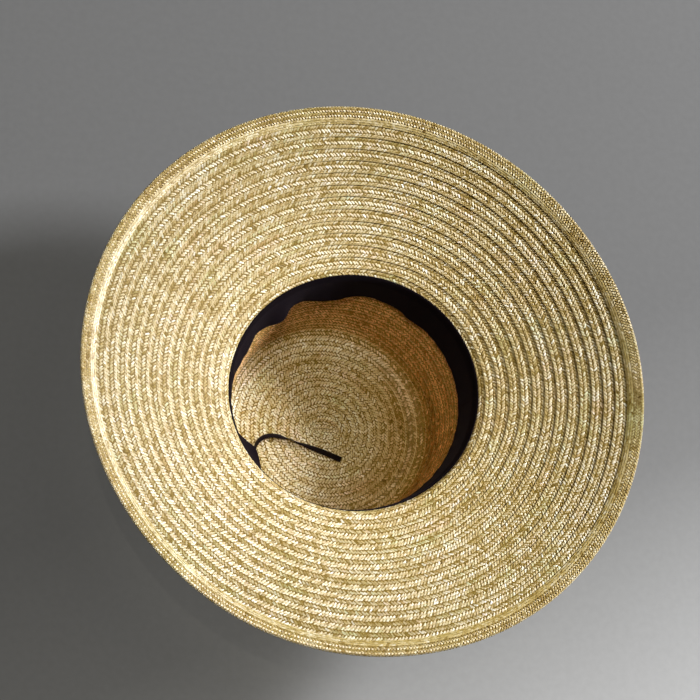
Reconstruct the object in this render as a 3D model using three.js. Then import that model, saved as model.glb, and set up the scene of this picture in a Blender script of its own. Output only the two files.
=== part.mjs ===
// A wide-brimmed hat of sewn straw braid. It lies on the flat tip of its crown with its mouth up.
// Units are millimetres, +Z is up, and the origin is the centre of the tip's outer face.
// Azimuths are in degrees, from +X towards +Y.

import * as THREE from 'three';

// The outer form
const brimDiameter = 420;
const mouthDiameter = 187;
const tipDiameter = 157;
const crownDepth = 95.5;
const brimRise = 45;
const cornerRadius = 16;
const mouthRollRadius = 7;

// The mouth is a little longer than it is wide, as a head is, and so is the start of the braid.
const mouthOval = 0.029;
const mouthOvalAzimuth = 23;
const tipStartOval = 0.16;

// The braid: on the inside of the hat each row laps over its inner neighbour.
const braidThickness = 1.0;
const rowLap = 2.0;
const sewingGap = 0.3;
const rowStep = braidThickness + sewingGap;
const tipRows = 9;
const wallRows = 12;
const brimRows = 13;
const edgeWidth = 12.8;
const edgeThickness = 1.8;

// The sweatband
const bandWidth = 27;
const bandThickness = 1.0;
const bandGap = 0.3;
const bandSetback = 1.5;
const bandFlatShare = 0.6;

// The ribbon end
const ribbonWidth = 4.4;
const ribbonThickness = 1.2;
const ribbonSides = 8;
const ribbonSteps = 22;
const ribbonTurn = -30;

// How finely the rings are divided
const crownSides = 32;
const brimSides = 48;
const bandSides = 36;

// Gentle waves of the brim: how far its outer edge is lifted, as a share of brimRise.
const brimWaves = [
  { azimuth: 0, lift: 0 },
  { azimuth: 38, lift: -0.05 },
  { azimuth: 90, lift: 0 },
  { azimuth: 140, lift: 0.02 },
  { azimuth: 180, lift: 0 },
  { azimuth: 215, lift: 0.06 },
  { azimuth: 248, lift: 0 },
  { azimuth: 281, lift: 0.09 },
  { azimuth: 318, lift: 0 },
];

// Ripples of the sweatband's free edge: how far it leans in, and how far it is drawn up towards
// the mouth, as shares of bandWidth. The deep one at 211 is a pucker.
const bandRipples = [
  { azimuth: 0, lean: 0.01, rise: 0 },
  { azimuth: 43, lean: 0.03, rise: 0.02 },
  { azimuth: 52, lean: 0.08, rise: 0 },
  { azimuth: 61, lean: 0.02, rise: 0.06 },
  { azimuth: 77, lean: 0.01, rise: 0.1 },
  { azimuth: 97, lean: 0.17, rise: 0.02 },
  { azimuth: 115, lean: 0.02, rise: 0.08 },
  { azimuth: 127, lean: 0.26, rise: 0 },
  { azimuth: 141, lean: 0.05, rise: 0.02 },
  { azimuth: 153, lean: 0.12, rise: 0.02 },
  { azimuth: 172, lean: 0.02, rise: 0.04 },
  { azimuth: 196, lean: 0.03, rise: 0.02 },
  { azimuth: 211, lean: 0.34, rise: 0.05 },
  { azimuth: 226, lean: 0.04, rise: 0 },
  { azimuth: 262, lean: 0.06, rise: 0.03 },
  { azimuth: 292, lean: 0.01, rise: 0 },
  { azimuth: 330, lean: 0.02, rise: 0.01 },
];

// The ribbon's route, in millimetres: out from behind the band, down the wall, over the tip.
const ribbonRoute = [
  [-79.7, -40.6, 74.0],
  [-78.3, -39.9, 66.0],
  [-77.0, -39.2, 58.0],
  [-75.6, -38.5, 50.0],
  [-74.3, -37.9, 42.0],
  [-73.1, -37.2, 34.0],
  [-71.7, -36.5, 26.0],
  [-70.5, -35.9, 19.0],
  [-68.6, -34.9, 12.2],
  [-65.4, -32.9, 7.8],
  [-61.6, -29.4, 5.8],
  [-58.9, -24.4, 5.3],
  [-57.0, -18.8, 5.2],
  [-54.2, -13.0, 5.2],
  [-50.2, -9.2, 5.1],
  [-45.2, -7.2, 5.0],
  [-39.2, -7.2, 4.8],
  [-33.4, -8.4, 4.6],
  [-27.6, -10.2, 4.4],
  [-21.6, -12.2, 4.2],
  [-15.6, -14.3, 4.2],
  [-9.6, -16.3, 4.2],
  [-3.6, -18.4, 4.2],
  [2.4, -20.8, 4.2],
  [11.3, -24.4, 4.2],
];

const radians = (degrees) => (degrees * Math.PI) / 180;

// Reads one column of a table of azimuths as a smooth closed wave.
function wave(table, column) {
  return (angle) => {
    const turn = (((angle * 180) / Math.PI) % 360 + 360) % 360;
    const after = table.findIndex((row) => row.azimuth > turn);
    const next = table[after < 0 ? 0 : after];
    const last = table[after < 0 ? table.length - 1 : after - 1];
    const span = after < 0 ? 360 - last.azimuth : next.azimuth - last.azimuth;
    const along = (turn - last.azimuth) / span;
    const ease = (1 - Math.cos(Math.PI * along)) / 2;
    return last[column] + (next[column] - last[column]) * ease;
  };
}

// The meridian is the hat's mid-line in section, measured by its length from the tip's centre.
// It runs straight between corners of the section, which are rounded to their radii.
function roundedMeridian(corners) {
  const pieces = [];
  let start = corners[0].point.clone();
  for (let i = 1; i < corners.length; i += 1) {
    const corner = corners[i];
    const before = corner.point.clone().sub(corners[i - 1].point).normalize();
    if (!corner.radius) {
      pieces.push(new THREE.LineCurve(start, corner.point));
      break;
    }
    const after = corners[i + 1].point.clone().sub(corner.point).normalize();
    const turn = Math.atan2(before.cross(after), before.dot(after));
    const inset = corner.radius * Math.tan(Math.abs(turn) / 2);
    const enter = corner.point.clone().addScaledVector(before, -inset);
    const side = new THREE.Vector2(-before.y, before.x).multiplyScalar(Math.sign(turn));
    const centre = enter.clone().addScaledVector(side, corner.radius);
    const from = Math.atan2(-side.y, -side.x);
    pieces.push(new THREE.LineCurve(start, enter));
    pieces.push(new THREE.EllipseCurve(
      centre.x, centre.y, corner.radius, corner.radius, from, from + turn, turn < 0,
    ));
    start = corner.point.clone().addScaledVector(after, inset);
  }
  const ends = [0];
  for (const piece of pieces) {
    ends.push(ends[ends.length - 1] + piece.getLength());
  }
  const at = (length) => {
    const reach = Math.min(Math.max(length, 0), ends[pieces.length]);
    const i = pieces.findIndex((piece, k) => reach <= ends[k + 1] || k === pieces.length - 1);
    const share = (reach - ends[i]) / (ends[i + 1] - ends[i]);
    const along = pieces[i].getTangent(share);
    return { point: pieces[i].getPoint(share), inward: new THREE.Vector2(-along.y, along.x) };
  };
  return { at, ends, length: ends[pieces.length] };
}

const tipRadius = tipDiameter / 2;
const mouthRadius = mouthDiameter / 2;
const brimRadius = brimDiameter / 2;

const meridian = roundedMeridian([
  { point: new THREE.Vector2(0, 0) },
  { point: new THREE.Vector2(tipRadius, 0), radius: cornerRadius },
  { point: new THREE.Vector2(mouthRadius, crownDepth), radius: mouthRollRadius },
  { point: new THREE.Vector2(brimRadius, crownDepth + brimRise) },
]);
const tipEdge = meridian.ends[1];
const wallTop = meridian.ends[3];
const mouthEdge = (meridian.ends[3] + meridian.ends[4]) / 2;
const rollEnd = meridian.ends[4];
const brimEnd = meridian.length - edgeWidth;

// The rows' outermost lines on the tip all touch the surface that the hat lies on.
const tipPitch = tipEdge / tipRows;
const tipFloor = rowStep * (0.5 + rowLap / tipPitch) + braidThickness / 2;

const brimLift = wave(brimWaves, 'lift');

// Puts a point of the section, a length along the meridian and a lift off it towards the
// inside of the hat, at an azimuth: this adds the ovals and the brim's waves.
function place(length, lift, angle) {
  const { point, inward } = meridian.at(length);
  const radius = point.x + inward.x * lift;
  const height = point.y + inward.y * lift;
  const overBrim = Math.max(0, (radius - mouthRadius) / (brimRadius - mouthRadius));
  const onTip = Math.max(0, 1 - length / tipEdge);
  const upWall = Math.min(1, Math.max(0, height / crownDepth));
  const headOval = mouthOval * upWall * Math.max(0, 1 - overBrim);
  const oval = 1
    + headOval * Math.cos(2 * (angle - radians(mouthOvalAzimuth)))
    + tipStartOval * onTip * Math.cos(2 * angle);
  return new THREE.Vector3(
    radius * oval * Math.cos(angle),
    radius * oval * Math.sin(angle),
    tipFloor + height + brimRise * brimLift(angle) * overBrim * overBrim,
  );
}

// Turns a closed section, listed anticlockwise with the hat's axis on its left, into a closed
// ring. A section that starts and ends on the axis is closed there with single points.
function ring(section, sides, toPoint) {
  const onAxis = section[0].length === 0;
  const bands = onAxis ? section.slice(1, -1) : section;
  const positions = [];
  for (const spot of bands) {
    for (let k = 0; k < sides; k += 1) {
      positions.push(...toPoint(spot, (2 * Math.PI * k) / sides).toArray());
    }
  }
  const indices = [];
  const joins = onAxis ? bands.length - 1 : bands.length;
  for (let i = 0; i < joins; i += 1) {
    const j = (i + 1) % bands.length;
    for (let k = 0; k < sides; k += 1) {
      const m = (k + 1) % sides;
      const corners = [i * sides + k, i * sides + m, j * sides + m, j * sides + k];
      indices.push(corners[0], corners[1], corners[2], corners[0], corners[2], corners[3]);
    }
  }
  if (onAxis) {
    const first = positions.length / 3;
    const last = first + 1;
    positions.push(...toPoint(section[0], 0).toArray());
    positions.push(...toPoint(section[section.length - 1], 0).toArray());
    const end = (bands.length - 1) * sides;
    for (let k = 0; k < sides; k += 1) {
      const m = (k + 1) % sides;
      indices.push(first, m, k);
      indices.push(last, end + k, end + m);
    }
  }
  const geometry = new THREE.BufferGeometry();
  geometry.setAttribute('position', new THREE.Float32BufferAttribute(positions, 3));
  geometry.setIndex(indices);
  geometry.computeVertexNormals();
  return geometry;
}

// Evenly spaced row edges between two lengths along the meridian.
function rowEdges(from, to, rows) {
  return Array.from({ length: rows + 1 }, (unused, i) => from + ((to - from) * i) / rows);
}

// The middle of the braid of a row: high at the row's inner edge, low at its outer edge.
function braidMiddle(edges, row, length) {
  const pitch = edges[row + 1] - edges[row];
  return rowStep * (0.5 - (length - edges[row]) / pitch);
}

// The section of a cloth of braid rows. Seen from the inside of the hat each row starts on top
// of the one before it, and seen from the outside each row ends on top of the next one.
// A cloth that starts on the axis has a plain disc as its first row, flat on the outside.
// Rows that run round a bend get points there too.
function clothSection(edges, startsOnAxis) {
  const half = braidThickness / 2;
  const rows = edges.length - 1;
  const outer = [];
  const inner = [];
  const line = (row, from, to, side) => {
    const bends = [mouthEdge, rollEnd].filter((bend) => bend > from && bend < to);
    return [from, ...bends, to].map((length) => (
      { length, lift: braidMiddle(edges, row, length) + side * half }
    ));
  };
  for (let i = 0; i < rows; i += 1) {
    const start = i === 0 ? edges[0] : edges[i] + rowLap;
    const end = i === rows - 1 ? edges[rows] : edges[i + 1] + rowLap;
    if (startsOnAxis && i === 0) {
      outer.push({ length: start, lift: -tipFloor }, { length: end, lift: -tipFloor });
    } else {
      outer.push(...line(i, start, end, -1));
    }
    inner.push(...line(i, edges[i], edges[i + 1], 1));
  }
  return [...outer, ...inner.reverse()];
}

function sewnCloth(edges, sides, startsOnAxis) {
  const section = clothSection(edges, startsOnAxis);
  return ring(section, sides, (spot, angle) => place(spot.length, spot.lift, angle));
}

function crown() {
  const tip = rowEdges(0, tipEdge, tipRows);
  const wall = rowEdges(tipEdge, wallTop, wallRows);
  return sewnCloth([...tip, ...wall.slice(1)], crownSides, true);
}

const brimEdges = rowEdges(wallTop + sewingGap, brimEnd, brimRows);

function brim() {
  return sewnCloth(brimEdges, brimSides, false);
}

// The doubled braid round the brim: its inner edge laps over the last row, its rim is round.
function edgeBraid() {
  const half = braidThickness / 2;
  const round = edgeThickness / 2;
  const rim = brimEnd + edgeWidth;
  const lapped = brimEnd - rowLap;
  const over = (length) => braidMiddle(brimEdges, brimRows - 1, length) + rowStep;
  const section = [
    { length: lapped, lift: over(lapped) - half },
    { length: brimEnd, lift: over(brimEnd) - half },
    { length: brimEnd + 2 * sewingGap, lift: -half },
    { length: rim - round, lift: -round },
    { length: rim, lift: 0 },
    { length: rim - round, lift: round },
    { length: lapped, lift: over(lapped) + half },
  ];
  return ring(section, brimSides, (spot, angle) => place(spot.length, spot.lift, angle));
}

// How far the flats of the crown's rings stand inside their corners.
const facetDepth = mouthRadius * (1 - Math.cos(Math.PI / crownSides));

// The sweatband hangs from the mouth over the wall's inner face. Its free edge is loose, so it
// leans in and rises by the table.
function sweatband() {
  const wallFace = rowStep / 2 + braidThickness / 2;
  const top = mouthEdge - bandSetback;
  const lean = wave(bandRipples, 'lean');
  const rise = wave(bandRipples, 'rise');
  const outer = wallFace + facetDepth + bandGap;
  const inner = outer + bandThickness;
  const section = [
    { across: 1, lift: outer },
    { across: bandFlatShare, lift: outer },
    { across: 0, lift: outer },
    { across: 0, lift: inner },
    { across: bandFlatShare, lift: inner },
    { across: 1, lift: inner },
  ];
  return ring(section, bandSides, ({ across, lift }, angle) => {
    const drop = bandWidth * across * (1 - rise(angle) * across);
    return place(top - drop, lift + bandWidth * lean(angle) * across * across, angle);
  });
}

// The ribbon is a flat strip, swept along its route with its face to the wall and the tip.
function adjustingRibbon() {
  const path = new THREE.CatmullRomCurve3(ribbonRoute.map((point) => new THREE.Vector3(...point)));
  const section = new THREE.Shape(Array.from({ length: ribbonSides }, (unused, k) => {
    const angle = (2 * Math.PI * k) / ribbonSides;
    const flat = new THREE.Vector2(
      (ribbonWidth / 2) * Math.cos(angle),
      (ribbonThickness / 2) * Math.sin(angle),
    );
    return flat.rotateAround(new THREE.Vector2(), radians(ribbonTurn));
  }));
  return new THREE.ExtrudeGeometry(section, { steps: ribbonSteps, extrudePath: path });
}

const finishes = {
  straw: { color: 0xc9ad6a, roughness: 0.62, metalness: 0 },
  edgeStraw: { color: 0xb08f4c, roughness: 0.62, metalness: 0 },
  bandCloth: { color: 0x17131a, roughness: 0.78, metalness: 0 },
  ribbonCloth: { color: 0x120f12, roughness: 0.5, metalness: 0 },
};

const hat = new THREE.Group();

function add(name, geometry, finish) {
  const mesh = new THREE.Mesh(geometry, new THREE.MeshStandardMaterial(finishes[finish]));
  mesh.name = name;
  hat.add(mesh);
}

add('crown', crown(), 'straw');
add('brim', brim(), 'straw');
add('edge_braid', edgeBraid(), 'edgeStraw');
add('sweatband', sweatband(), 'bandCloth');
add('adjusting_ribbon', adjustingRibbon(), 'ribbonCloth');

export default hat;
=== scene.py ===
"""A wide-brimmed hat of sewn straw braid, lying on the flat tip of its crown with its mouth up.

Lengths are in millimetres until a mesh is made. Azimuths run from +X towards +Y.
"""
import math

import bpy
import numpy as np
from mathutils import Matrix, Vector


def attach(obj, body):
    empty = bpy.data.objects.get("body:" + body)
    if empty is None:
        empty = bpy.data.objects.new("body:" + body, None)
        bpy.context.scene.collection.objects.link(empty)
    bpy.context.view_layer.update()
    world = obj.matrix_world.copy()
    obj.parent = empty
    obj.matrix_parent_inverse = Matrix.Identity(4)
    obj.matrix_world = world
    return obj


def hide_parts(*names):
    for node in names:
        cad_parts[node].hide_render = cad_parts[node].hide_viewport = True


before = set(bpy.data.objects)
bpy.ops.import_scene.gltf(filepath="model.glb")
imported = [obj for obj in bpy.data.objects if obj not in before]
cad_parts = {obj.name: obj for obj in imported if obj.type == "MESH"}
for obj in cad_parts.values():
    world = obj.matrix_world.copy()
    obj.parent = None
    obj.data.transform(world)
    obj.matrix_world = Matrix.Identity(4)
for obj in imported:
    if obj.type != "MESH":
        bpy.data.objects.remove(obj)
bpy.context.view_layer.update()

MM = 0.001
TURN = 2 * math.pi

# The outer form, as the frame has it
BRIM_DIAMETER = 420
MOUTH_DIAMETER = 187
TIP_DIAMETER = 157
CROWN_DEPTH = 95.5
BRIM_RISE = 45
CORNER_RADIUS = 16
MOUTH_ROLL_RADIUS = 7
MOUTH_OVAL = 0.029
MOUTH_OVAL_AZIMUTH = math.radians(23)
TIP_START_HALF = 10

# The braid and its rows. The straws' own rows are thinner than the frame's plain ones, so they
# sink outwards to end at the same outer face.
BRAID_THICKNESS = 1.0
ROW_LAP = 2.0
FRAME_ROW_STEP = 1.3
ROW_STEP = 0.85
SINK = 0.30
TIP_ROWS = 9
WALL_ROWS = 12
BRIM_ROWS = 13

# The core under the plait, dark as painted shade in the gaps between the straws: its points across a
# row, as shares of the row's pitch from the inner edge, with one more at the lapped outer edge, and
# its thickness at each. The first points are the sewn edge, which is pale.
CORE_HALF = 0.2
CORE_INSET = 0.45
CORE_SHARES = np.array([0, 0.055, 0.10, 0.4, 0.62, 0.88])
CORE_THICK = np.array([0.9, 1.5, 1, 1, 1, 1, 0.5])
CORE_EDGE_POINTS = 2
CORE_EDGE_PALE, CORE_PAINTED_SHADE_PALE = 0.56, 0.15

# The plait: columns of slanting straws, with a straw every TOOTH along each column. A straw's
# length is a share of its column's breadth, and its own breadth is a share of TOOTH.
PLAIT_COLUMNS = 3
COLUMN_OVERLAP = 0.6
COLUMN_MIDDLE = 0.40
TOOTH = 2.5
STRAW_TILT = math.radians(43)
STRAW_LENGTH_SHARE = 1.48
STRAW_BREADTH_SHARE = 0.63

# A row's straws are made as far as this share of its pitch, where the next row covers them. They
# are left out where the pitch is less than the least one, and at the two ends of the spiral.
SHOWN_SHARE = 1.12
LEAST_PITCH = 0.9
SPIRAL_END_INSET = 1.2

# The braid folds down towards its sewn edge
FOLD_START = 0.8
FOLD_LENGTH = 1.3
FOLD_DROP = 0.25

# How pale the straws are, from 0 to 1, how the pale and dark ones depart from that, and the light
# and shade painted on the crown's inside: painted light paling the tip, painted shade on the wall's
# side away from the window and in its corner, and a painted warm glow of light through the straw
STRAW_PALE = 0.62
CREAM_SHARE, CREAM_STEP = 0.10, 0.15
DARK_SHARE, DARK_STEP = 0.09, -0.16
PAINTED_TIP_LIGHT = 0.13
WALL_SHADE = 0.14
CORNER_SHADE = 0.38
PAINTED_CORNER_GLOW = 0.35
# The azimuth where the painted shade on the wall is darkest, and how far from the tip's middle the
# painted shade in the corner starts
SHADE_AZIMUTH = math.radians(-10.5)
SHADE_START = 18

# The edge braid: smooth runs near its inner edge, and a zigzag round the rim
EDGE_WIDTH = 12.8
EDGE_THICKNESS = 1.8
EDGE_TOOTH = 2.3
EDGE_COLUMNS = 14
EDGE_PLAIN_FIRST, EDGE_PLAIN_LAST = 3, 2
EDGE_TILT = math.radians(48)
EDGE_RUN_INSET = 5

# The sweatband. Its sewn edge is set lower at one azimuth and higher opposite.
BAND_WIDTH = 27
BAND_THICKNESS = 0.9
BAND_GAP = 0.75
BAND_SETBACK = 1.5
BAND_SEWN_LIFT = 0.45
BAND_LOW_AZIMUTH = 4.05
BAND_LOWER_BY = 5.2
BAND_HIGHER_BY = 2.3

# The ribbon end
RIBBON_WIDTH = 4.4
RIBBON_THICKNESS = 0.6
RIBBON_CUP = 0.35

# Azimuth, and how far the brim's outer edge rises there, as a share of its whole rise
BRIM_WAVES = np.array([
    (0, 0), (38, -0.05), (90, 0), (140, 0.02), (180, 0),
    (215, 0.06), (248, 0), (281, 0.09), (318, 0),
])

# Azimuth, lean and rise of the sweatband's free edge, the last two as shares of its width
BAND_RIPPLES = np.array([
    (0, 0.01, 0), (43, 0.03, 0.02), (52, 0.08, 0), (61, 0.02, 0.06), (77, 0.01, 0.1),
    (97, 0.17, 0.02), (115, 0.02, 0.08), (127, 0.26, 0), (141, 0.05, 0.02),
    (153, 0.12, 0.02), (172, 0.02, 0.04), (193, 0.03, 0.02), (209, 0.32, 0.05),
    (225, 0.04, 0), (262, 0.06, 0.03), (292, 0.01, 0), (330, 0.02, 0.01),
])

# The ribbon's route: out from behind the band, down the wall, over the tip
RIBBON_ROUTE = [
    (-79.7, -40.6, 74.0), (-78.3, -39.9, 66.0), (-77.0, -39.2, 58.0), (-75.6, -38.5, 50.0),
    (-74.3, -37.9, 42.0), (-73.1, -37.2, 34.0), (-71.7, -36.5, 26.0), (-70.5, -35.9, 19.0),
    (-68.6, -34.9, 12.2), (-65.4, -32.9, 7.8), (-61.6, -29.4, 5.8), (-58.9, -24.4, 5.3),
    (-57.0, -18.8, 5.2), (-54.2, -13.0, 5.2), (-50.2, -9.2, 5.1), (-45.2, -7.2, 5.0),
    (-39.2, -7.2, 4.8), (-33.4, -8.4, 4.6), (-27.6, -10.2, 4.4), (-21.6, -12.2, 4.2),
    (-15.6, -14.3, 4.2), (-9.6, -16.3, 4.2), (-3.6, -18.4, 4.2), (2.4, -20.8, 4.2),
    (11.3, -24.4, 4.2),
]

# The share of the ribbon's length where it starts to turn from the wall to the tip, and where it
# has turned
RIBBON_TURN = (0.36, 0.50)

# How far the ribbon leans from lying flat, in degrees, by the share of its length: it is flat on
# the wall, stands nearly on edge where it turns, and ends flat on the tip
RIBBON_LEAN = np.array([
    (0, 0), (0.38, 10), (0.49, 66), (0.54, 68), (0.60, 34), (0.69, 32), (0.735, 68), (0.76, 68),
    (0.83, 32), (0.90, 8), (1, 0),
])


def closed_wave(table, column):
    """A smooth closed wave through one column of a table of azimuths in degrees."""
    azimuths = np.append(table[:, 0], 360)
    values = np.append(table[:, column], table[0, column])

    def read(angle):
        turn = np.degrees(angle) % 360
        after = np.clip(np.searchsorted(azimuths, turn, side="right"), 1, len(azimuths) - 1)
        along = (turn - azimuths[after - 1]) / (azimuths[after] - azimuths[after - 1])
        ease = (1 - np.cos(math.pi * along)) / 2
        return values[after - 1] + (values[after] - values[after - 1]) * ease

    return read


def rounded_meridian(corners, radii, arc_steps=24):
    """The section's mid-line: stations, points and directions, with its corners rounded."""
    ends = [0.0]
    stations, points, headings = [0.0], [corners[0]], []
    start = np.array(corners[0], float)
    for i in range(1, len(corners)):
        corner = np.array(corners[i], float)
        before = corner - np.array(corners[i - 1], float)
        heading = math.atan2(before[1], before[0])
        if i == 1:
            headings.append(heading)
        if i == len(corners) - 1:
            ends.append(ends[-1] + float(np.linalg.norm(corner - start)))
            stations.append(ends[-1])
            points.append(tuple(corner))
            headings.append(heading)
            break
        after = np.array(corners[i + 1], float) - corner
        turn = math.atan2(after[1], after[0]) - heading
        inset = radii[i] * math.tan(abs(turn) / 2)
        enter = corner - inset * np.array([math.cos(heading), math.sin(heading)])
        ends.append(ends[-1] + float(np.linalg.norm(enter - start)))
        side = math.copysign(1.0, turn)
        centre = enter + side * radii[i] * np.array([-math.sin(heading), math.cos(heading)])
        for step in range(arc_steps + 1):
            way = heading + turn * step / arc_steps
            spoke = np.array([math.sin(way), -math.cos(way)]) * side * radii[i]
            stations.append(ends[-1] + radii[i] * abs(turn) * step / arc_steps)
            points.append(tuple(centre + spoke))
            headings.append(way)
        ends.append(ends[-1] + radii[i] * abs(turn))
        start = corner + inset * after / np.linalg.norm(after)
    return np.array(stations), np.array(points), np.array(headings), ends


TIP_RADIUS = TIP_DIAMETER / 2
MOUTH_RADIUS = MOUTH_DIAMETER / 2
BRIM_RADIUS = BRIM_DIAMETER / 2
STATIONS, POINTS, HEADINGS, ENDS = rounded_meridian(
    [(0, 0), (TIP_RADIUS, 0), (MOUTH_RADIUS, CROWN_DEPTH), (BRIM_RADIUS, CROWN_DEPTH + BRIM_RISE)],
    [0, CORNER_RADIUS, MOUTH_ROLL_RADIUS, 0],
)
TIP_EDGE = ENDS[1]
WALL_TOP = ENDS[3]
MOUTH_EDGE = (ENDS[3] + ENDS[4]) / 2
BRIM_END = ENDS[5] - EDGE_WIDTH
TIP_FLOOR = FRAME_ROW_STEP * (0.5 + ROW_LAP * TIP_ROWS / TIP_EDGE) + BRAID_THICKNESS / 2
brim_lift = closed_wave(BRIM_WAVES, 1)


def meridian_radius(length):
    return np.interp(length, STATIONS, POINTS[:, 0])


def place(length, lift, angle):
    """Points of the hat: a length along the meridian, a lift to its inside, and an azimuth."""
    way = np.interp(length, STATIONS, HEADINGS)
    radius = meridian_radius(length) - np.sin(way) * lift
    height = np.interp(length, STATIONS, POINTS[:, 1]) + np.cos(way) * lift
    over_brim = np.maximum(0, (radius - MOUTH_RADIUS) / (BRIM_RADIUS - MOUTH_RADIUS))
    on_tip = np.clip(1 - length / TIP_EDGE, 0, 1)
    up_wall = np.clip(height / CROWN_DEPTH, 0, 1)
    oval = MOUTH_OVAL * up_wall * np.clip(1 - over_brim, 0, None)
    radius = radius * (1 + oval * np.cos(2 * (angle - MOUTH_OVAL_AZIMUTH)))
    long_radius = np.hypot(radius, TIP_START_HALF * on_tip)
    return np.stack([
        long_radius * np.cos(angle),
        radius * np.sin(angle),
        TIP_FLOOR + height + BRIM_RISE * brim_lift(angle) * over_brim ** 2,
    ], axis=-1)


def new_piece(name, points, quads, material, smooth_shaded=True):
    """A mesh of quads, from points in millimetres."""
    mesh = bpy.data.meshes.new(name)
    mesh.vertices.add(len(points))
    mesh.vertices.foreach_set("co", (points * MM).astype(np.float32).ravel())
    mesh.loops.add(quads.size)
    mesh.loops.foreach_set("vertex_index", quads.astype(np.int32).ravel())
    mesh.polygons.add(len(quads))
    mesh.polygons.foreach_set("loop_start", np.arange(0, quads.size, 4, dtype=np.int32))
    mesh.update(calc_edges=True)
    if smooth_shaded:
        mesh.shade_smooth()
    else:
        mesh.shade_flat()
    mesh.materials.append(material)
    piece = bpy.data.objects.new(name, mesh)
    bpy.context.scene.collection.objects.link(piece)
    return piece


def set_uv(piece, name, point_uv):
    """A UV map from two numbers a point."""
    corners = np.zeros(len(piece.data.loops), np.int32)
    piece.data.loops.foreach_get("vertex_index", corners)
    layer = piece.data.uv_layers.new(name=name)
    layer.data.foreach_set("uv", point_uv[corners].astype(np.float32).ravel())


def set_tone(piece, tone):
    """Three numbers a point: how pale the straw is, its tint, and how warm its colour is; on the crown's
    inside the warmth is a painted glow.
    """
    colors = np.ones((len(tone), 4), np.float32)
    colors[:, :3] = tone
    layer = piece.data.color_attributes.new(name="tone", type="FLOAT_COLOR", domain="POINT")
    layer.data.foreach_set("color", colors.ravel())


def claim(piece, node):
    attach(piece, "root")
    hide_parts(node)


def grid_quads(rows, columns, wrap_rows=False, wrap_columns=False):
    """The quads of a grid of points, its rows first."""
    i = np.arange(rows if wrap_rows else rows - 1)
    j = np.arange(columns if wrap_columns else columns - 1)
    a, b = np.meshgrid(i, j, indexing="ij")
    c, d = (a + 1) % rows, (b + 1) % columns
    corners = [a * columns + b, c * columns + b, c * columns + d, a * columns + d]
    return np.stack(corners, axis=-1).reshape(-1, 4)


# Camera

# Where the middle of the mouth stands in the photograph's frame, and how large it is there
FRAME_PIXELS = 700
MOUTH_PIXEL = Vector((354.8, 391.0))
PIXELS_PER_MM = 1.3533
CAMERA_DISTANCE = 1900
SENSOR_WIDTH = 36
MOUTH_TILT = 0.4043
MOUTH_TILT_TOWARDS = 0.9145
mouth_middle = Vector((0, 0, TIP_FLOOR + CROWN_DEPTH + 1.2))


def add_camera():
    """A long lens that looks into the mouth, with the crown's axis leaning up and right."""
    lean = Matrix.Rotation(
        MOUTH_TILT, 3, Vector((-math.sin(MOUTH_TILT_TOWARDS), math.cos(MOUTH_TILT_TOWARDS), 0))
    )
    straight = lean.transposed()
    focal = PIXELS_PER_MM * CAMERA_DISTANCE
    offset = MOUTH_PIXEL - Vector((FRAME_PIXELS / 2, FRAME_PIXELS / 2))
    ray = Vector((offset.x, -offset.y, -focal)).normalized()
    aim = ray.rotation_difference(Vector((0, 0, -1))).to_matrix()
    data = bpy.data.cameras.new("camera")
    data.sensor_width = SENSOR_WIDTH
    data.lens = focal / FRAME_PIXELS * SENSOR_WIDTH
    data.clip_start, data.clip_end = 0.05, 20
    camera = bpy.data.objects.new("camera", data)
    turned = (straight @ aim).to_4x4()
    back = straight @ Vector((0, 0, 1))
    turned.translation = (mouth_middle + back * CAMERA_DISTANCE) * MM
    camera.matrix_world = turned
    bpy.context.scene.collection.objects.link(camera)
    bpy.context.scene.camera = camera
    return straight


camera_turn = add_camera()


# Materials

STRAW_STOPS = [
    (0.0, (0.13, 0.075, 0.008)), (0.3, (0.33, 0.220, 0.038)), (0.5, (0.535, 0.385, 0.125)),
    (0.7, (0.69, 0.565, 0.270)), (0.87, (0.82, 0.73, 0.49)), (1.0, (0.93, 0.88, 0.69)),
]
EDGE_STOPS = [
    (0.0, (0.14, 0.075, 0.008)), (0.35, (0.36, 0.235, 0.040)), (0.6, (0.58, 0.420, 0.105)),
    (0.85, (0.77, 0.64, 0.32)), (1.0, (0.90, 0.80, 0.54)),
]
TINT_STOPS = [
    (0.0, (0.88, 0.97, 0.80)), (0.35, (1.0, 1.0, 0.97)), (0.7, (1.0, 0.99, 1.0)),
    (1.0, (1.04, 0.94, 0.96)),
]
# The warm colour that the tone's third number mixes in: the edge core's own warmth, and a painted glow of
# light through the straw on the crown's inside
WARMTH_AND_GLOW_TINT = (1.08, 0.56, 0.20)
STRAW_SPECULAR = 0.82
STRAW_IOR = 1.66


def shader(name, roughness, specular=0.5):
    material = bpy.data.materials.new(name)
    material.use_nodes = True
    nodes, links = material.node_tree.nodes, material.node_tree.links
    surface = nodes["Principled BSDF"]
    surface.inputs["Roughness"].default_value = roughness
    surface.inputs["Specular IOR Level"].default_value = specular
    return material, nodes, links, surface


def math_node(nodes, links, operation, *values):
    node = nodes.new("ShaderNodeMath")
    node.operation = operation
    for socket, value in zip(node.inputs, values):
        if isinstance(value, (int, float)):
            socket.default_value = value
        else:
            links.new(value, socket)
    return node.outputs[0]


def noise_of(nodes, links, vector, scale, detail=2.0):
    node = nodes.new("ShaderNodeTexNoise")
    node.inputs["Scale"].default_value = scale
    node.inputs["Detail"].default_value = detail
    links.new(vector, node.inputs["Vector"])
    return node.outputs["Fac"]


def ramp(nodes, links, factor, stops):
    node = nodes.new("ShaderNodeValToRGB")
    while len(node.color_ramp.elements) < len(stops):
        node.color_ramp.elements.new(0.5)
    for element, (position, color) in zip(node.color_ramp.elements, stops):
        element.position = position
        element.color = (*color, 1)
    links.new(factor, node.inputs["Fac"])
    return node.outputs["Color"]


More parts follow.
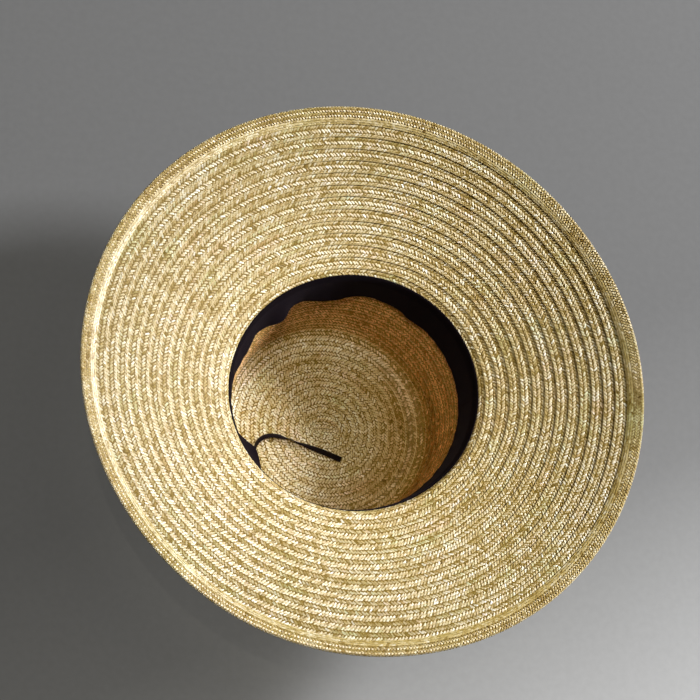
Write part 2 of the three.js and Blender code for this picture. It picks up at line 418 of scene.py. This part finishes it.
def mix(nodes, links, factor, first, second, blend="MIX"):
    node = nodes.new("ShaderNodeMix")
    node.data_type = "RGBA"
    node.blend_type = blend
    for socket, value in zip((node.inputs[0], node.inputs[6], node.inputs[7]),
                             (factor, first, second)):
        if isinstance(value, (int, float)):
            socket.default_value = value
        elif isinstance(value, tuple):
            socket.default_value = (*value, 1)
        else:
            links.new(value, socket)
    return node.outputs[2]


def straw_material(name, stops, roughness):
    """Split straw: a tone for each straw, fibres along it, and a waxy gloss that dark straws lack."""
    material, nodes, links, surface = shader(name, roughness, STRAW_SPECULAR)
    tone = nodes.new("ShaderNodeAttribute")
    tone.attribute_name = "tone"
    split = nodes.new("ShaderNodeSeparateColor")
    links.new(tone.outputs["Color"], split.inputs[0])
    uv = nodes.new("ShaderNodeUVMap")
    uv.uv_map = "straw_uv"
    stretch = nodes.new("ShaderNodeMapping")
    stretch.inputs["Scale"].default_value = (0.25, 5.0, 1.0)
    links.new(uv.outputs["UV"], stretch.inputs["Vector"])
    fibres = noise_of(nodes, links, stretch.outputs["Vector"], 1.6, 3.0)
    stains = noise_of(nodes, links, uv.outputs["UV"], 0.35, 1.0)
    grain = noise_of(nodes, links, uv.outputs["UV"], 0.9, 3.0)
    pale = split.outputs[0]
    for noise, strength in ((fibres, 0.22), (grain, 0.55), (stains, 0.16)):
        wobble = math_node(nodes, links, "MULTIPLY_ADD", noise, strength, -strength / 2)
        pale = math_node(nodes, links, "ADD", pale, wobble)
    color = ramp(nodes, links, pale, stops)
    gloss = math_node(nodes, links, "MULTIPLY_ADD", pale, 2.1, -0.26)
    gloss = math_node(nodes, links, "MINIMUM", math_node(nodes, links, "MAXIMUM", gloss, 0.12), 1.0)
    links.new(gloss, surface.inputs["Specular IOR Level"])
    surface.inputs["IOR"].default_value = STRAW_IOR
    tint = ramp(nodes, links, split.outputs[1], TINT_STOPS)
    color = mix(nodes, links, 1.0, color, tint, "MULTIPLY")
    # The tone's third number warms the colour: on the crown's inside this is a painted glow
    warm = mix(nodes, links, 1.0, color, WARMTH_AND_GLOW_TINT, "MULTIPLY")
    color = mix(nodes, links, split.outputs[2], color, warm)
    links.new(color, surface.inputs["Base Color"])
    bump = nodes.new("ShaderNodeBump")
    bump.inputs["Strength"].default_value = 0.35
    bump.inputs["Distance"].default_value = 0.00012
    links.new(fibres, bump.inputs["Height"])
    links.new(bump.outputs["Normal"], surface.inputs["Normal"])
    return material


def cloth_material(name, dark, light, rib, roughness, sheen):
    """Dark ribbed cloth: ribs across the strip and a fine uneven thread."""
    material, nodes, links, surface = shader(name, roughness, 0.06)
    uv = nodes.new("ShaderNodeUVMap")
    uv.uv_map = "cloth_uv"
    split = nodes.new("ShaderNodeSeparateXYZ")
    links.new(uv.outputs["UV"], split.inputs[0])
    phase = math_node(nodes, links, "MULTIPLY", split.outputs[0], TURN / rib)
    wave = math_node(nodes, links, "SINE", phase)
    threads = noise_of(nodes, links, uv.outputs["UV"], 2.2, 4.0)
    height = math_node(nodes, links, "MULTIPLY_ADD", threads, 0.8, wave)
    share = math_node(nodes, links, "MULTIPLY_ADD", height, 0.3, 0.35)
    links.new(ramp(nodes, links, share, [(0.0, dark), (1.0, light)]), surface.inputs["Base Color"])
    bump = nodes.new("ShaderNodeBump")
    bump.inputs["Strength"].default_value = 0.6
    bump.inputs["Distance"].default_value = 0.00015
    links.new(height, bump.inputs["Height"])
    links.new(bump.outputs["Normal"], surface.inputs["Normal"])
    surface.inputs["Sheen Weight"].default_value = sheen
    surface.inputs["Sheen Roughness"].default_value = 0.5
    surface.inputs["Sheen Tint"].default_value = (0.75, 0.62, 0.85, 1)
    return material


straw = straw_material("straw", STRAW_STOPS, roughness=0.48)
edge_straw = straw_material("edge_straw", EDGE_STOPS, roughness=0.50)
band_cloth = cloth_material(
    "band_cloth", dark=(0.0008, 0.0004, 0.0006), light=(0.0060, 0.0026, 0.0050), rib=0.9,
    roughness=0.85, sheen=0.03,
)
ribbon_cloth = cloth_material(
    "ribbon_cloth", dark=(0.002, 0.0015, 0.002), light=(0.014, 0.008, 0.008), rib=0.5,
    roughness=0.45, sheen=0.05,
)


# The ribbon end

def ribbon():
    """A limp flat ribbon from behind the sweatband, down the wall and over the tip."""
    route = np.array(RIBBON_ROUTE)
    before = 2 * route[0] - route[1]
    after = 2 * route[-1] - route[-2]
    knots = np.vstack([before, route, after])
    line = []
    per_span = 7
    for i in range(1, len(knots) - 2):
        p = knots[i - 1:i + 3]
        for step in range(per_span):
            t = step / per_span
            line.append(0.5 * (
                2 * p[1] + (p[2] - p[0]) * t + (2 * p[0] - 5 * p[1] + 4 * p[2] - p[3]) * t ** 2
                + (3 * p[1] - p[0] - 3 * p[2] + p[3]) * t ** 3
            ))
    line.append(route[-1])
    line = np.array(line)
    run = np.concatenate([[0], np.cumsum(np.linalg.norm(np.diff(line, axis=0), axis=1))])
    lean = np.interp(run / run[-1], RIBBON_LEAN[:, 0], RIBBON_LEAN[:, 1])
    along = np.gradient(line, axis=0)
    along /= np.linalg.norm(along, axis=1)[:, None]
    inward = -line * [1, 1, 0]
    inward /= np.linalg.norm(inward, axis=1)[:, None]
    turn_start, turn_end = RIBBON_TURN
    on_tip = np.clip((run / run[-1] - turn_start) / (turn_end - turn_start), 0, 1)[:, None]
    face = inward * (1 - on_tip) + np.array([0, 0, 1.0]) * on_tip
    face -= along * (face * along).sum(1)[:, None]
    face /= np.linalg.norm(face, axis=1)[:, None]
    side = np.cross(along, face)
    turn = np.radians(lean)[:, None]
    side, face = side * np.cos(turn) + face * np.sin(turn), face * np.cos(turn) - side * np.sin(turn)
    across = np.linspace(-1, 1, 7)
    cup = RIBBON_CUP * (1 - across ** 2)
    half = RIBBON_THICKNESS / 2 * np.array([0.55, 0.9, 1, 1, 1, 0.9, 0.55])
    rim = np.concatenate([across, across[::-1]]) * RIBBON_WIDTH / 2
    lift = np.concatenate([cup - half, (cup + half)[::-1]])
    points = line[:, None] + side[:, None] * rim[None, :, None] + face[:, None] * lift[None, :, None]
    count, sides = len(line), len(rim)
    quads = grid_quads(count, sides, wrap_columns=True)
    low = np.arange(len(across) - 1)
    high = sides - 1 - low
    cap = np.stack([low, low + 1, high - 1, high], axis=-1)
    quads = np.vstack([quads[:, ::-1], cap, (cap + (count - 1) * sides)[:, ::-1]])
    piece = new_piece("adjusting_ribbon_cloth", points.reshape(-1, 3), quads, ribbon_cloth)
    uv = np.stack(np.broadcast_arrays(run[:, None], rim[None, :]), axis=-1).reshape(-1, 2)
    set_uv(piece, "cloth_uv", uv)
    claim(piece, "adjusting_ribbon")


ribbon()


# Rows of braid

class Row:
    """One run of braid: its azimuths, the lengths of its two sewn edges, and its own length."""

    def __init__(self, angle, inner, outer):
        self.angle, self.inner, self.outer = angle, inner, outer
        middle = place((inner + outer) / 2, 0, angle)
        steps = np.linalg.norm(np.diff(middle, axis=0), axis=1)
        self.run = np.concatenate([[0], np.cumsum(steps)])

    def at(self, run):
        angle = np.interp(run, self.run, self.angle)
        return angle, np.interp(run, self.run, self.inner), np.interp(run, self.run, self.outer)


def smooth(low, high, value):
    t = np.clip((value - low) / (high - low), 0, 1)
    return t * t * (3 - 2 * t)


def braid_middle(share):
    """The middle of the braid's thickness, from its high inner edge, 0, to its low outer edge, 1."""
    share = np.clip(share, -0.1, 1.4)
    return ROW_STEP * (0.5 - 0.50 * share - 0.50 * smooth(0.42, 0.95, share)) - SINK


def stray(index):
    """How far a sewn edge of the brim strays from its ring."""
    local = np.random.default_rng(100 + index)
    waves = [(m, local.uniform(0, TURN), local.uniform(0.5, 1)) for m in (2, 3, 5, 8, 13)]
    return lambda angle: sum(0.42 / m ** 0.5 * a * np.sin(m * angle + p) for m, p, a in waves)


# How far past a whole turn a ring's azimuths are worked out, for the straws at its start
OVERRUN = 0.3


def brim_rows():
    """The brim's rows are rings, whose sewn edges stray a little."""
    edges = np.linspace(WALL_TOP, BRIM_END, BRIM_ROWS + 1)
    angle = np.linspace(-OVERRUN, TURN + OVERRUN, 900)
    lines = [edges[0] + 0 * angle]
    lines += [edges[i] + stray(i)(angle) for i in range(1, BRIM_ROWS)]
    lines.append(edges[-1] + 0 * angle)
    return [Row(angle, lines[i], lines[i + 1]) for i in range(BRIM_ROWS)]


def crown_rows():
    """The crown is one spiral: each turn's outer edge is the next turn's inner edge."""
    tip = np.linspace(0, TIP_EDGE, TIP_ROWS + 1)
    wall = np.linspace(TIP_EDGE, WALL_TOP, WALL_ROWS + 1)
    edges = np.concatenate([tip, wall[1:]])
    turns = len(edges) - 1
    angle = np.linspace(-0.9 * TURN, TURN * turns, turns * 240 + 1)

    def edge(turn):
        waves = sum(0.16 * np.sin(TURN * rate * turn + rate) for rate in (2.37, 4.71, 7.93))
        strayed = np.interp(turn, np.arange(turns + 1), edges) + waves * np.clip(turn / 2, 0, 1)
        return np.maximum(strayed, 0)

    inner = edge(angle / TURN)
    outer = np.minimum(edge(angle / TURN + 1), edges[-1])
    inner = np.minimum(inner, outer - 0.6)
    return [Row(angle, inner, outer)]


def braid_core(name, rows, steps, closed, node):
    """The braid's core, which shows between the outer straws, dark as painted shade in those gaps: a thin
    solid strip a row.
    """
    points, quads, uvs, count = [], [], [], 0
    for row in rows:
        if closed:
            angle = np.linspace(0, TURN, steps + 1)[:-1]
        else:
            angle = np.linspace(row.angle[0], row.angle[-1], steps)
        run = np.interp(angle, row.angle, row.run)
        _, inner, outer = row.at(run)
        pitch = (outer - inner)[:, None]
        shares = np.broadcast_to(CORE_SHARES, (len(pitch), len(CORE_SHARES)))
        across = np.hstack([shares, 1 + (ROW_LAP - CORE_INSET) / pitch])
        length = inner[:, None] + across * pitch
        half = CORE_HALF * CORE_THICK[None, :]
        middle = braid_middle(across)
        lengths = np.hstack([length, length[:, ::-1]])
        lifts = np.hstack([middle + half, (middle - half)[:, ::-1]])
        spots = place(lengths, lifts, np.broadcast_to(angle[:, None], lengths.shape))
        n, m = lengths.shape
        quad = grid_quads(n, m, wrap_rows=closed, wrap_columns=True)[:, ::-1]
        if not closed:
            k = np.arange(m // 2 - 1)
            cap = np.stack([m - 1 - k, m - 2 - k, k + 1, k], axis=-1)
            quad = np.vstack([quad, cap, (cap + (n - 1) * m)[:, ::-1]])
        quads.append(quad + count)
        points.append(spots.reshape(-1, 3))
        uvs.append(np.stack([
            np.broadcast_to(run[:, None], lengths.shape), np.tile(np.arange(m), (n, 1)) * 2.0,
        ], axis=-1).reshape(-1, 2))
        count += n * m
    piece = new_piece(name, np.vstack(points), np.vstack(quads), straw)
    set_uv(piece, "straw_uv", np.vstack(uvs))
    at_edge = np.arange(len(CORE_THICK)) < CORE_EDGE_POINTS
    # Dark as painted shade in the gaps between the straws, except at the pale sewn edge
    pale = np.where(at_edge, CORE_EDGE_PALE, CORE_PAINTED_SHADE_PALE)
    pale = np.tile(np.append(pale, pale[::-1]), count // (2 * len(pale)))
    set_tone(piece, np.stack([pale, 0.5 + 0 * pale, 0 * pale], axis=-1))
    claim(piece, node)


def patches(run, size, local):
    """A smooth random value along a row, with patches of about one size."""
    knots = local.normal(0, 1, int(run.max() / size) + 3)
    return np.interp(run / size, np.arange(len(knots)), knots)


# One straw of the plait, in shares of its length and width, and its height off the core
STRAW_ALONG = np.array([-0.5, -0.24, 0.24, 0.5])
STRAW_ACROSS = np.array([-0.5, -0.30, 0.5])
STRAW_HEIGHT = np.array([
    [-0.34, -0.16, -0.30],
    [-0.24, 0.28, 0.02],
    [-0.24, 0.28, 0.02],
    [-0.34, -0.16, -0.30],
])
STRAW_TAPER = np.array([0.86, 1.0, 1.0, 0.86])


def straw_quads(count):
    along, across = STRAW_HEIGHT.shape
    first = along * across * np.arange(count)[:, None, None]
    return (grid_quads(along, across)[None] + first).reshape(-1, 4)


def lay_straws(run, away, tilt, long, wide):
    """Where the straws' points are along a row and in from its edge, and along and across a straw."""
    t = STRAW_ALONG[None, :, None] * long[:, None, None]
    w = STRAW_ACROSS[None, None, :] * wide[:, None, None] * STRAW_TAPER[None, :, None]
    cos, sin = np.cos(tilt)[:, None, None], np.sin(tilt)[:, None, None]
    return run[:, None, None] + t * cos - w * sin, away[:, None, None] + t * sin + w * cos, t, w


def straw_uv(t, w, local):
    """The fibres run along each straw, from a place of its own in the pattern."""
    offset = local.uniform(0, 400, (len(t), 1, 1))
    return np.stack([t + offset + 0 * w, w + 0.37 * offset + 0 * t], axis=-1).reshape(-1, 2)


def plait_spots(row, face, closed):
    """Where the straws of one face of a row stand: along it, in from its edge, slant and breadth."""
    if closed:
        start, end = np.interp([0, TURN], row.angle, row.run)
    else:
        start, end = SPIRAL_END_INSET, row.run[-1] - SPIRAL_END_INSET
    teeth = int(round((end - start) / TOOTH))
    step = (end - start) / teeth
    spots = []
    for column in range(PLAIT_COLUMNS):
        run = start + (np.arange(teeth) + 0.5 * (column % 2)) * step
        _, inner, outer = row.at(run)
        breadth = (outer - inner + COLUMN_OVERLAP) / PLAIT_COLUMNS
        slant = np.full(teeth, 1.0 if column % 2 else -1.0)
        away = (column + COLUMN_MIDDLE) * breadth
        spots.append(np.stack([run, away, slant, breadth, np.full(teeth, float(column))]))
    run, away, slant, breadth, column = np.hstack(spots)
    _, inner, outer = row.at(run)
    lap = ROW_LAP / (outer - inner)
    share = away / (outer - inner) if face > 0 else 1 + lap - away / (outer - inner)
    shown = share < SHOWN_SHARE if face > 0 else share > lap + 1 - SHOWN_SHARE
    shown &= (outer - inner) > LEAST_PITCH
    return step, run[shown], away[shown], slant[shown], breadth[shown], column[shown]


def straw_tones(row, run, column, local, paint_crown_light):
    """How pale each straw is, its tint, and how warm its colour is, with light, shade and a warm glow
    painted on the crown's inside.
    """
    count = len(run)
    pale = (
        STRAW_PALE + 0.05 * patches(run, 22, local) + 0.05 * patches(run, 6, local)
        + 0.13 * local.normal(0, 1, count) + 0.02 * (column == 0)
    )
    pale = np.where(local.random(count) < CREAM_SHARE, pale + CREAM_STEP, pale)
    pale = np.where(local.random(count) < DARK_SHARE, pale + DARK_STEP, pale)
    tint = np.clip(0.5 + 0.20 * patches(run + 40, 17, local) + 0.12 * local.normal(0, 1, count), 0, 1)
    warm = np.zeros(count)
    if paint_crown_light:
        angle, inner, _ = row.at(run)
        aside = np.cos(angle - SHADE_AZIMUTH)
        wall = smooth(TIP_EDGE + 4, TIP_EDGE + 26, inner)
        corner = smooth(SHADE_START, TIP_EDGE + 6, inner) * np.maximum(aside, 0)
        corner = corner * (1 - smooth(TIP_EDGE + 16, TIP_EDGE + 42, inner))
        # Painted light pales the tip. Painted shade darkens the wall away from the window and pales it
        # opposite, and darkens the corner.
        pale = pale + PAINTED_TIP_LIGHT * (1 - wall) - WALL_SHADE * wall * aside - CORNER_SHADE * corner
        # A painted warm glow of light through the straw on the wall, stronger away from the window, and
        # in the shaded corner
        warm = wall * (0.82 + 0.18 * aside) + PAINTED_CORNER_GLOW * corner * (1 - wall)
    return np.stack([np.clip(pale, 0, 1), tint, warm], axis=-1)


def plait(row, face, closed, local, paint_crown_light):
    """The straws of one face of a row: columns of slanting straws, each column mirrored."""
    step, run, away, slant, breadth, column = plait_spots(row, face, closed)
    count = len(run)
    tilt = slant * (STRAW_TILT + local.normal(0, 0.11, count))
    long = breadth * STRAW_LENGTH_SHARE * (1 + local.normal(0, 0.08, count))
    wide = step * STRAW_BREADTH_SHARE * (1.0 + local.normal(0, 0.08, count))
    run = run + local.normal(0, 0.22, count)
    away = away + local.normal(0, 0.16, count)
    proud = 1 + local.normal(0, 0.24, count)

    along, away, t, w = lay_straws(run, away, tilt, long, wide)
    height = STRAW_HEIGHT[None] * proud[:, None, None]
    angle, inner, outer = row.at(along)
    fold = np.clip((FOLD_START - away) / FOLD_LENGTH, 0, 1)
    away = np.maximum(away, -0.2)
    length = inner + away if face > 0 else outer + ROW_LAP - away
    share = (length - inner) / np.maximum(outer - inner, 0.5)
    lift = braid_middle(share) + face * (CORE_HALF + height - FOLD_DROP * fold ** 2)
    points = place(np.maximum(length, 0), lift, angle)

    tone = straw_tones(row, run, column, local, paint_crown_light)
    return points.reshape(-1, 3), np.repeat(tone, STRAW_HEIGHT.size, axis=0), straw_uv(t, w, local)


def plaited_piece(name, rows, face, closed, node, seed, paint_crown_light=False):
    """All straws of one face of some rows: face 1 is the hat's inside, and -1 its outside."""
    local = np.random.default_rng(seed)
    parts = [plait(row, face, closed, local, paint_crown_light) for row in rows]
    points, tone, uv = (np.vstack(group) for group in zip(*parts))
    quads = straw_quads(len(points) // STRAW_HEIGHT.size)[:, ::-1]
    piece = new_piece(name, points, quads, straw, smooth_shaded=False)
    set_uv(piece, "straw_uv", uv)
    set_tone(piece, tone)
    claim(piece, node)


brim = brim_rows()
crown = crown_rows()
braid_core("brim_core", brim, 200, True, "brim")
braid_core("crown_core", crown, 21 * 72, False, "crown")
plaited_piece("brim_straws_under", brim, 1, True, "brim", 1)
plaited_piece("brim_straws_over", brim, -1, True, "brim", 2)
plaited_piece("crown_straws_inside", crown, 1, False, "crown", 3, paint_crown_light=True)
plaited_piece("crown_straws_outside", crown, -1, False, "crown", 4)


# The edge braid

def edge_section():
    """The edge braid's section, as lengths and lifts: from its inner edge, which laps over the last
    row, along the inside, round the rim and back."""
    half = EDGE_THICKNESS / 2
    rim = BRIM_END + EDGE_WIDTH
    low = braid_middle(1.0)
    turn = np.linspace(math.pi / 2, -math.pi / 2, 9)
    inside = [(BRIM_END - 0.2, low + 0.55), (BRIM_END + 0.2, low + 1.05), (BRIM_END + 3, 0.75)]
    rim_spots = [(rim - half + half * math.cos(a), half * math.sin(a)) for a in turn]
    outside = [(BRIM_END + 3.2, -0.75), (BRIM_END + 2.2, low + 0.45)]
    return np.array(inside + rim_spots + outside)


def edge_core(section):
    """A solid ring a little inside the edge braid's straws."""
    inset = 0.22
    middle = np.array([BRIM_END + EDGE_WIDTH / 2, 0])
    core = section + np.clip(middle - section, -inset, inset)
    steps = 240
    angle = np.linspace(0, TURN, steps + 1)[:-1]
    shape = (steps, len(core))
    angles = np.broadcast_to(angle[:, None], shape)
    points = place(np.broadcast_to(core[:, 0], shape), np.broadcast_to(core[:, 1], shape), angles)
    quads = grid_quads(*shape, wrap_rows=True, wrap_columns=True)[:, ::-1]
    piece = new_piece("edge_core", points.reshape(-1, 3), quads, edge_straw)
    across = np.broadcast_to(np.arange(len(core)) * 1.6, shape)
    set_uv(piece, "straw_uv", np.stack([angles * 200, across], axis=-1).reshape(-1, 2))
    # Darker than the straws over it, as painted shade in the gaps between them
    set_tone(piece, np.tile((0.30, 0.5, 0.1), (angles.size, 1)))
    claim(piece, "edge_braid")


def edge_straws(section):
    """Columns of straws all round the edge's section: nearly straight ones, and a zigzag."""
    local = np.random.default_rng(7)
    around = np.concatenate([[0], np.cumsum(np.linalg.norm(np.diff(section, axis=0), axis=1))])
    heading = np.gradient(section, axis=0)
    heading /= np.linalg.norm(heading, axis=1)[:, None]
    out = np.stack([-heading[:, 1], heading[:, 0]], axis=-1)
    rim_at = around[np.argmax(section[:, 0])]
    run_radius = BRIM_RADIUS - EDGE_RUN_INSET
    girth = TURN * run_radius
    teeth = int(round(girth / EDGE_TOOTH))
    breadth = around[-1] / EDGE_COLUMNS
    k, c = np.meshgrid(np.arange(teeth), np.arange(EDGE_COLUMNS), indexing="ij")
    k, c = k.ravel(), c.ravel()
    count = len(k)
    run = (k + 0.5 * (c % 2)) * girth / teeth + local.normal(0, 0.08, count)
    spot = (c + 0.5) * breadth + local.normal(0, 0.08, count)
    plain = (c < EDGE_PLAIN_FIRST) | (c >= EDGE_COLUMNS - EDGE_PLAIN_LAST)
    tilt = np.where(c % 2, 1, -1) * (
        np.where(plain, 0.16, EDGE_TILT) + local.normal(0, 0.12, count))
    long = np.where(plain, EDGE_TOOTH * 1.5, breadth * 1.5)
    wide = np.where(plain, breadth * 0.88, EDGE_TOOTH * 0.60)
    along, spot, t, w = lay_straws(run, spot, tilt, long, wide)
    spot = np.clip(spot, 0, around[-1])
    proud = np.where(plain, 0.5, 1.3) * (1 + local.normal(0, 0.2, count))
    height = STRAW_HEIGHT[None] * proud[:, None, None]
    length = np.interp(spot, around, section[:, 0]) + height * np.interp(spot, around, out[:, 0])
    lift = np.interp(spot, around, section[:, 1]) + height * np.interp(spot, around, out[:, 1])
    points = place(length, lift, along / run_radius).reshape(-1, 3)
    piece = new_piece("edge_straws", points, straw_quads(count), edge_straw, smooth_shaded=False)
    pale = np.where(plain, 0.66, 0.60) + 0.07 * patches(run, 12, local)
    pale += 0.12 * local.normal(0, 1, count)
    pale += 0.28 * (np.abs((c + 0.5) * breadth - rim_at) < 1.2)
    tint = np.clip(0.5 + 0.2 * patches(run, 30, local), 0, 1)
    tone = np.stack([np.clip(pale, 0, 1), tint, 0 * pale], axis=-1)
    set_tone(piece, np.repeat(tone, STRAW_HEIGHT.size, axis=0))
    set_uv(piece, "straw_uv", straw_uv(t, w, local))
    claim(piece, "edge_braid")


edge_line = edge_section()
edge_core(edge_line)
edge_straws(edge_line)


# The sweatband

def sweatband():
    """A band of ribbed cloth, sewn in at the mouth, with its free edge loose and rippled."""
    lean, rise = closed_wave(BAND_RIPPLES, 1), closed_wave(BAND_RIPPLES, 2)
    wall_face = FRAME_ROW_STEP / 2 + BRAID_THICKNESS / 2 - SINK
    steps, rows = 480, 22
    angle = np.linspace(0, TURN, steps + 1)[:-1][:, None]
    across = np.linspace(0, 1, rows)[None, :]
    drop = BAND_WIDTH * across * (1 - rise(angle) * across)
    aside = np.cos(angle - BAND_LOW_AZIMUTH)
    top = MOUTH_EDGE - BAND_SETBACK
    top = top - BAND_LOWER_BY * np.clip(aside, 0, 1) + BAND_HIGHER_BY * np.clip(-aside, 0, 1)
    wrinkle = 0.5 * across ** 2 * (np.sin(31 * angle + 2 * across) + np.sin(47 * angle + 1))
    sewn = smooth(0, 0.2, across)
    base = BAND_SEWN_LIFT + (wall_face + BAND_GAP - BAND_SEWN_LIFT) * sewn + 0.25 * wrinkle
    base = base + BAND_WIDTH * lean(angle) * across ** 2
    hem = 0.25 * smooth(0.93, 0.97, across) + 0.15 * (1 - smooth(0.03, 0.08, across))
    outside = base - hem * 0.3
    inside = base + BAND_THICKNESS * (0.55 + 0.45 * sewn) + hem
    lengths = np.hstack([top - drop, (top - drop)[:, ::-1]])
    lifts = np.hstack([outside, inside[:, ::-1]])
    points = place(lengths, lifts, np.broadcast_to(angle, lengths.shape))
    quads = grid_quads(steps, 2 * rows, wrap_rows=True, wrap_columns=True)
    piece = new_piece("sweatband_cloth", points.reshape(-1, 3), quads, band_cloth)
    run = angle * MOUTH_RADIUS
    uv = np.stack(np.broadcast_arrays(run, np.hstack([drop, drop[:, ::-1]])), axis=-1)
    set_uv(piece, "cloth_uv", uv.reshape(-1, 2))
    claim(piece, "sweatband")


sweatband()


# Floor and light

FLOOR_HALF = 6.0
FLOOR_GLOW = 0.60


def add_floor():
    """Grey paper, painted darker behind the hat, that glows as painted light to keep its shadow from
    going dark.
    """
    material, nodes, links, surface = shader("floor_paper", 0.85, 0.2)
    spot = nodes.new("ShaderNodeTexCoord")
    grain = noise_of(nodes, links, spot.outputs["Object"], 180, 3.0)
    grey = ramp(nodes, links, grain, [(0.3, (0.293, 0.293, 0.284)), (0.7, (0.309, 0.309, 0.300))])
    nearness = nodes.new("ShaderNodeVectorMath")
    nearness.operation = "DOT_PRODUCT"
    links.new(spot.outputs["Object"], nearness.inputs[0])
    nearness.inputs[1].default_value = camera_turn @ Vector((0.35, -0.94, 0))
    # Painted shade: the paper darkens away from the lower right of the view
    shade = ramp(nodes, links, nearness.outputs["Value"], [
        (0.0, (0.365, 0.365, 0.365)), (0.12, (0.47, 0.47, 0.47)), (0.30, (1.0, 1.0, 1.0)),
    ])
    paper = mix(nodes, links, 1.0, grey, shade, "MULTIPLY")
    links.new(paper, surface.inputs["Base Color"])
    links.new(paper, surface.inputs["Emission Color"])
    surface.inputs["Emission Strength"].default_value = FLOOR_GLOW
    mesh = bpy.data.meshes.new("floor")
    signs = ((-1, -1), (1, -1), (1, 1), (-1, 1))
    mesh.from_pydata([(x * FLOOR_HALF, y * FLOOR_HALF, 0) for x, y in signs], [], [(0, 1, 2, 3)])
    mesh.materials.append(material)
    floor = bpy.data.objects.new("floor", mesh)
    bpy.context.scene.collection.objects.link(floor)


def add_light(name, direction, distance, size, power, color, cone=None):
    """An area light, or a spot light if it has a cone. Its direction from the hat is given in the
    camera's terms: right, up and towards the camera."""
    data = bpy.data.lights.new(name, "SPOT" if cone else "AREA")
    data.energy, data.color = power, color
    if cone:
        data.shadow_soft_size, data.spot_size, data.spot_blend = size, cone, 0.35
    else:
        data.size = size
    lamp = bpy.data.objects.new(name, data)
    way = (camera_turn @ Vector(direction)).normalized()
    centre = Vector((0, 0, 0.08))
    lamp.location = centre + way * distance
    lamp.rotation_mode = "QUATERNION"
    lamp.rotation_quaternion = way.to_track_quat("Z", "Y")
    bpy.context.scene.collection.objects.link(lamp)


add_floor()
add_light("window", (0.80, 0.36, 0.24), distance=2.8, size=0.6, power=137, color=(0.98, 0.99, 1.05))
add_light("skylight", (0.35, 0.40, 0.85), distance=3.2, size=1.2, power=2.5, color=(1.0, 0.95, 0.85))
# What the room throws into the crown
add_light(
    "mouth_light", (0.05, 0.20, 0.98), distance=2.6, size=0.15, power=272, color=(1.0, 0.94, 0.80),
    cone=math.radians(4.3),
)


def add_room():
    """Dim warm light from all round."""
    world = bpy.data.worlds.new("room")
    world.use_nodes = True
    background = world.node_tree.nodes["Background"]
    background.inputs["Color"].default_value = (0.92, 0.77, 0.50, 1)
    background.inputs["Strength"].default_value = 0.078
    bpy.context.scene.world = world
    bpy.context.scene.view_settings.view_transform = "Standard"


add_room()
